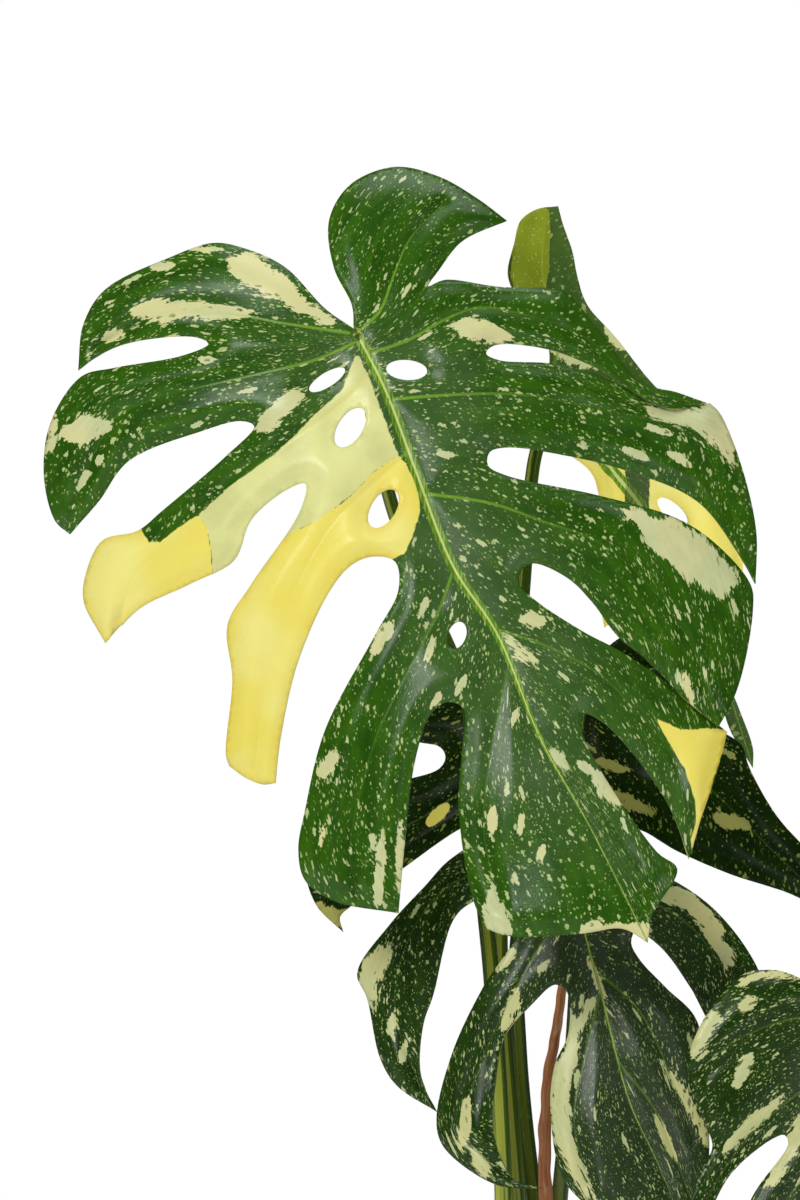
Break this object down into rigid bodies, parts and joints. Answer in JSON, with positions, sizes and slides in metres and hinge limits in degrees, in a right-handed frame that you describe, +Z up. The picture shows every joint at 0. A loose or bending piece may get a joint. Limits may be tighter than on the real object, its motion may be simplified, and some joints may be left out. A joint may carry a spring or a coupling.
{
  "type": "potted monstera plant",
  "caption": "Upright potted split-leaf plant with speckled green and cream blades on tall stalks, in a plain round pot.",
  "frame": {"origin": "centre of the flat underside of the pot", "axes": "+Z up, -Y towards the side that the largest blade faces, +X to the right as seen from there"},
  "size_m": [0.5911, 0.3772, 0.9443],
  "materials": {
    "pot_plastic": "matte",
    "potting_soil": "matte",
    "stem_bark": "matte",
    "petiole_green": "satin",
    "leaf_variegated": "satin",
    "sheath_brown": "matte"
  },
  "bodies": {
    "root": {"pot": "pot_plastic", "soil": "potting_soil", "main_stem": "stem_bark", "petiole_front": "petiole_green", "petiole_rear": "petiole_green", "petiole_middle": "petiole_green", "petiole_low": "petiole_green", "petiole_side": "petiole_green", "blade_front": "leaf_variegated", "blade_rear": "leaf_variegated", "blade_middle": "leaf_variegated", "blade_low": "leaf_variegated", "blade_side": "leaf_variegated", "dried_sheath": "sheath_brown"}
  },
  "joints": []
}
